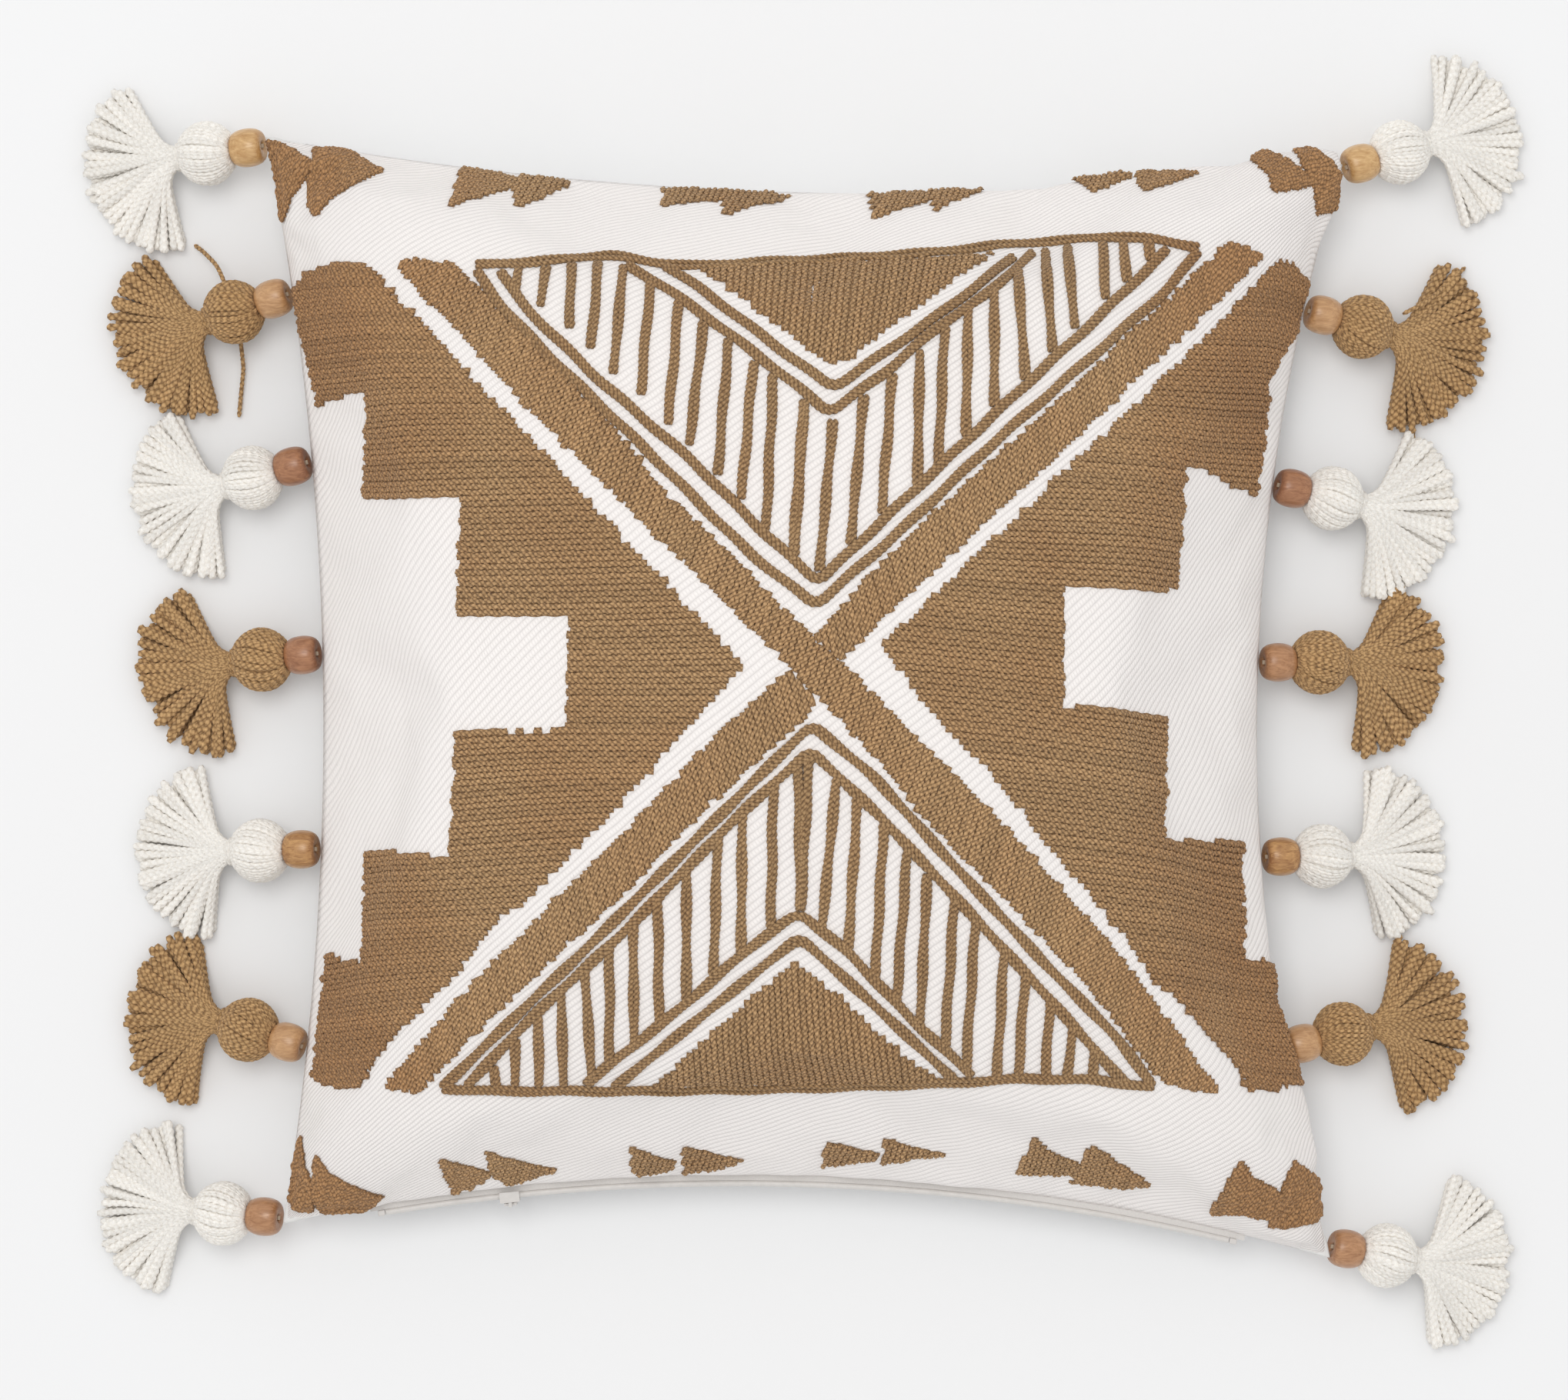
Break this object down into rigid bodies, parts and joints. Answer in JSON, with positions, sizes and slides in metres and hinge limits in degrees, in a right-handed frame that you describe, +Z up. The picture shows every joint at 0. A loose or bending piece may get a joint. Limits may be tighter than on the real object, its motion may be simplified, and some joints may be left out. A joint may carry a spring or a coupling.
{
  "type": "throw pillow",
  "caption": "Square embroidered throw pillow with a removable insert, a hidden zip, and beaded yarn tassels along two sides.",
  "frame": {"origin": "middle of the flat face of the back panel that the pillow rests on", "axes": "+Z up out of the embroidered face, +X to the right along the tasselled direction, +Y towards the upper edge"},
  "size_m": [0.5747, 0.5159, 0.1248],
  "materials": {
    "cotton_twill": "off-white cotton twill, diagonal rib",
    "brown_wool": "raised camel-brown wool stitches, fuzzy",
    "insert_cotton": "plain white cotton case",
    "fibre_filling": "soft polyester fibre",
    "sewing_thread": "off-white thread",
    "zip_tape": "woven off-white tape",
    "zip_nylon": "off-white nylon coil",
    "zip_metal": "off-white enamel",
    "white_yarn": "cream two-ply cotton yarn",
    "brown_yarn": "camel two-ply cotton yarn",
    "wood_light": "pale polished wood",
    "wood_tan": "tan polished wood",
    "wood_dark": "reddish polished wood"
  },
  "bodies": {
    "cushion": {"front_panel": "cotton_twill", "back_panel": "cotton_twill", "insert_cover": "insert_cotton", "insert_filling": "fibre_filling", "seam_stitching": "sewing_thread", "zip_tape_upper": "zip_tape", "zip_tape_lower": "zip_tape", "zip_coil": "zip_nylon", "zip_stops": "zip_metal", "cross_bands": "brown_wool", "side_field_left": "brown_wool", "side_field_right": "brown_wool", "motif_upper": "brown_wool", "motif_lower": "brown_wool", "border_row_top": "brown_wool", "border_row_bottom": "brown_wool"},
    "zip_slider": {"zip_slider": "zip_metal"},
    "zip_pull": {"zip_pull": "zip_metal"},
    "tassel_left_1": {"tassel_left_1_cord": "white_yarn", "tassel_left_1_yarn": "white_yarn"},
    "tassel_left_1_bead": {"tassel_left_1_bead": "wood_light"},
    "tassel_left_2": {"tassel_left_2_cord": "brown_yarn", "tassel_left_2_yarn": "brown_yarn"},
    "tassel_left_2_bead": {"tassel_left_2_bead": "wood_tan"},
    "tassel_left_3": {"tassel_left_3_cord": "white_yarn", "tassel_left_3_yarn": "white_yarn"},
    "tassel_left_3_bead": {"tassel_left_3_bead": "wood_dark"},
    "tassel_left_4": {"tassel_left_4_cord": "brown_yarn", "tassel_left_4_yarn": "brown_yarn"},
    "tassel_left_4_bead": {"tassel_left_4_bead": "wood_dark"},
    "tassel_left_5": {"tassel_left_5_cord": "white_yarn", "tassel_left_5_yarn": "white_yarn"},
    "tassel_left_5_bead": {"tassel_left_5_bead": "wood_tan"},
    "tassel_left_6": {"tassel_left_6_cord": "brown_yarn", "tassel_left_6_yarn": "brown_yarn"},
    "tassel_left_6_bead": {"tassel_left_6_bead": "wood_tan"},
    "tassel_left_7": {"tassel_left_7_cord": "white_yarn", "tassel_left_7_yarn": "white_yarn"},
    "tassel_left_7_bead": {"tassel_left_7_bead": "wood_tan"},
    "tassel_right_1": {"tassel_right_1_cord": "white_yarn", "tassel_right_1_yarn": "white_yarn"},
    "tassel_right_1_bead": {"tassel_right_1_bead": "wood_light"},
    "tassel_right_2": {"tassel_right_2_cord": "brown_yarn", "tassel_right_2_yarn": "brown_yarn"},
    "tassel_right_2_bead": {"tassel_right_2_bead": "wood_tan"},
    "tassel_right_3": {"tassel_right_3_cord": "white_yarn", "tassel_right_3_yarn": "white_yarn"},
    "tassel_right_3_bead": {"tassel_right_3_bead": "wood_dark"},
    "tassel_right_4": {"tassel_right_4_cord": "brown_yarn", "tassel_right_4_yarn": "brown_yarn"},
    "tassel_right_4_bead": {"tassel_right_4_bead": "wood_tan"},
    "tassel_right_5": {"tassel_right_5_cord": "white_yarn", "tassel_right_5_yarn": "white_yarn"},
    "tassel_right_5_bead": {"tassel_right_5_bead": "wood_tan"},
    "tassel_right_6": {"tassel_right_6_cord": "brown_yarn", "tassel_right_6_yarn": "brown_yarn"},
    "tassel_right_6_bead": {"tassel_right_6_bead": "wood_tan"},
    "tassel_right_7": {"tassel_right_7_cord": "white_yarn", "tassel_right_7_yarn": "white_yarn"},
    "tassel_right_7_bead": {"tassel_right_7_bead": "wood_tan"}
  },
  "joints": [
    {"name": "tassel_left_1_swing", "type": "hinge", "parent": "cushion", "child": "tassel_left_1", "pos_m": [-0.21373, 0.21935, 0.02331], "axis": [-0.1045, 0.9945, 0], "range_deg": [-20, 20]},
    {"name": "tassel_left_1_bead_spin", "type": "hinge", "parent": "tassel_left_1", "child": "tassel_left_1_bead", "pos_m": [-0.21134, 0.2196, 0.024], "axis": [-0.956, -0.1005, -0.2756], "continuous": true},
    {"name": "tassel_left_2_swing", "type": "hinge", "parent": "cushion", "child": "tassel_left_2", "pos_m": [-0.20366, 0.1595, 0.02331], "axis": [-0.2924, 0.9563, 0], "range_deg": [-20, 20]},
    {"name": "tassel_left_2_bead_spin", "type": "hinge", "parent": "tassel_left_2", "child": "tassel_left_2_bead", "pos_m": [-0.20136, 0.1602, 0.024], "axis": [-0.9193, -0.281, -0.2756], "continuous": true},
    {"name": "tassel_left_3_swing", "type": "hinge", "parent": "cushion", "child": "tassel_left_3", "pos_m": [-0.19586, 0.09168, 0.02331], "axis": [-0.2588, 0.9659, 0], "range_deg": [-20, 20]},
    {"name": "tassel_left_3_bead_spin", "type": "hinge", "parent": "tassel_left_3", "child": "tassel_left_3_bead", "pos_m": [-0.19354, 0.0923, 0.024], "axis": [-0.9285, -0.2488, -0.2756], "continuous": true},
    {"name": "tassel_left_4_swing", "type": "hinge", "parent": "cushion", "child": "tassel_left_4", "pos_m": [-0.19161, 0.01465, 0.02331], "axis": [-0.1045, 0.9945, 0], "range_deg": [-20, 20]},
    {"name": "tassel_left_4_bead_spin", "type": "hinge", "parent": "tassel_left_4", "child": "tassel_left_4_bead", "pos_m": [-0.18922, 0.0149, 0.024], "axis": [-0.956, -0.1005, -0.2756], "continuous": true},
    {"name": "tassel_left_5_swing", "type": "hinge", "parent": "cushion", "child": "tassel_left_5", "pos_m": [-0.1922, -0.06418, 0.02331], "axis": [-0.0349, 0.9994, 0], "range_deg": [-20, 20]},
    {"name": "tassel_left_5_bead_spin", "type": "hinge", "parent": "tassel_left_5", "child": "tassel_left_5_bead", "pos_m": [-0.1898, -0.0641, 0.024], "axis": [-0.9607, -0.0335, -0.2756], "continuous": true},
    {"name": "tassel_left_6_swing", "type": "hinge", "parent": "cushion", "child": "tassel_left_6", "pos_m": [-0.19787, -0.14374, 0.02331], "axis": [0.2756, 0.9613, 0], "range_deg": [-20, 20]},
    {"name": "tassel_left_6_bead_spin", "type": "hinge", "parent": "tassel_left_6", "child": "tassel_left_6_bead", "pos_m": [-0.19556, -0.1444, 0.024], "axis": [-0.924, 0.265, -0.2756], "continuous": true},
    {"name": "tassel_left_7_swing", "type": "hinge", "parent": "cushion", "child": "tassel_left_7", "pos_m": [-0.20708, -0.21287, 0.02331], "axis": [0.0523, 0.9986, 0], "range_deg": [-20, 20]},
    {"name": "tassel_left_7_bead_spin", "type": "hinge", "parent": "tassel_left_7", "child": "tassel_left_7_bead", "pos_m": [-0.20468, -0.213, 0.024], "axis": [-0.9599, 0.0503, -0.2756], "continuous": true},
    {"name": "tassel_right_1_swing", "type": "hinge", "parent": "cushion", "child": "tassel_right_1", "pos_m": [0.22368, 0.2107, 0.02331], "axis": [0.2924, -0.9563, 0], "range_deg": [-20, 20]},
    {"name": "tassel_right_1_bead_spin", "type": "hinge", "parent": "tassel_right_1", "child": "tassel_right_1_bead", "pos_m": [0.22138, 0.21, 0.024], "axis": [0.9193, 0.281, -0.2756], "continuous": true},
    {"name": "tassel_right_2_swing", "type": "hinge", "parent": "cushion", "child": "tassel_right_2", "pos_m": [0.20868, 0.15268, 0.02331], "axis": [-0.2588, -0.9659, 0], "range_deg": [-20, 20]},
    {"name": "tassel_right_2_bead_spin", "type": "hinge", "parent": "tassel_right_2", "child": "tassel_right_2_bead", "pos_m": [0.20636, 0.1533, 0.024], "axis": [0.9285, -0.2488, -0.2756], "continuous": true},
    {"name": "tassel_right_3_swing", "type": "hinge", "parent": "cushion", "child": "tassel_right_3", "pos_m": [0.19627, 0.08256, 0.02331], "axis": [-0.225, -0.9744, 0], "range_deg": [-20, 20]},
    {"name": "tassel_right_3_bead_spin", "type": "hinge", "parent": "tassel_right_3", "child": "tassel_right_3_bead", "pos_m": [0.19393, 0.0831, 0.024], "axis": [0.9366, -0.2162, -0.2756], "continuous": true},
    {"name": "tassel_right_4_swing", "type": "hinge", "parent": "cushion", "child": "tassel_right_4", "pos_m": [0.19036, 0.0111, 0.02331], "axis": [0, -1, 0], "range_deg": [-20, 20]},
    {"name": "tassel_right_4_bead_spin", "type": "hinge", "parent": "tassel_right_4", "child": "tassel_right_4_bead", "pos_m": [0.18796, 0.0111, 0.024], "axis": [0.9613, 0, -0.2756], "continuous": true},
    {"name": "tassel_right_5_swing", "type": "hinge", "parent": "cushion", "child": "tassel_right_5", "pos_m": [0.19149, -0.0673, 0.02331], "axis": [0, -1, 0], "range_deg": [-20, 20]},
    {"name": "tassel_right_5_bead_spin", "type": "hinge", "parent": "tassel_right_5", "child": "tassel_right_5_bead", "pos_m": [0.18909, -0.0673, 0.024], "axis": [0.9613, 0, -0.2756], "continuous": true},
    {"name": "tassel_right_6_swing", "type": "hinge", "parent": "cushion", "child": "tassel_right_6", "pos_m": [0.20035, -0.1439, 0.02331], "axis": [0.2079, -0.9781, 0], "range_deg": [-20, 20]},
    {"name": "tassel_right_6_bead_spin", "type": "hinge", "parent": "tassel_right_6", "child": "tassel_right_6_bead", "pos_m": [0.198, -0.1444, 0.024], "axis": [0.9403, 0.1999, -0.2756], "continuous": true},
    {"name": "tassel_right_7_swing", "type": "hinge", "parent": "cushion", "child": "tassel_right_7", "pos_m": [0.21796, -0.22446, 0.02331], "axis": [-0.1908, -0.9816, 0], "range_deg": [-20, 20]},
    {"name": "tassel_right_7_bead_spin", "type": "hinge", "parent": "tassel_right_7", "child": "tassel_right_7_bead", "pos_m": [0.2156, -0.224, 0.024], "axis": [0.9436, -0.1834, -0.2756], "continuous": true},
    {"name": "zip_slider_travel", "type": "hinge", "parent": "cushion", "child": "zip_slider", "pos_m": [-0.02199, -1.06565, 0.024], "axis": [0, 0, -1], "range_deg": [-2.63, 18.44]},
    {"name": "zip_pull_swing", "type": "hinge", "parent": "zip_slider", "child": "zip_pull", "pos_m": [-0.11343, -0.20739, 0.024], "axis": [-0.9944, -0.1059, 0], "range_deg": [-4, 150]}
  ]
}
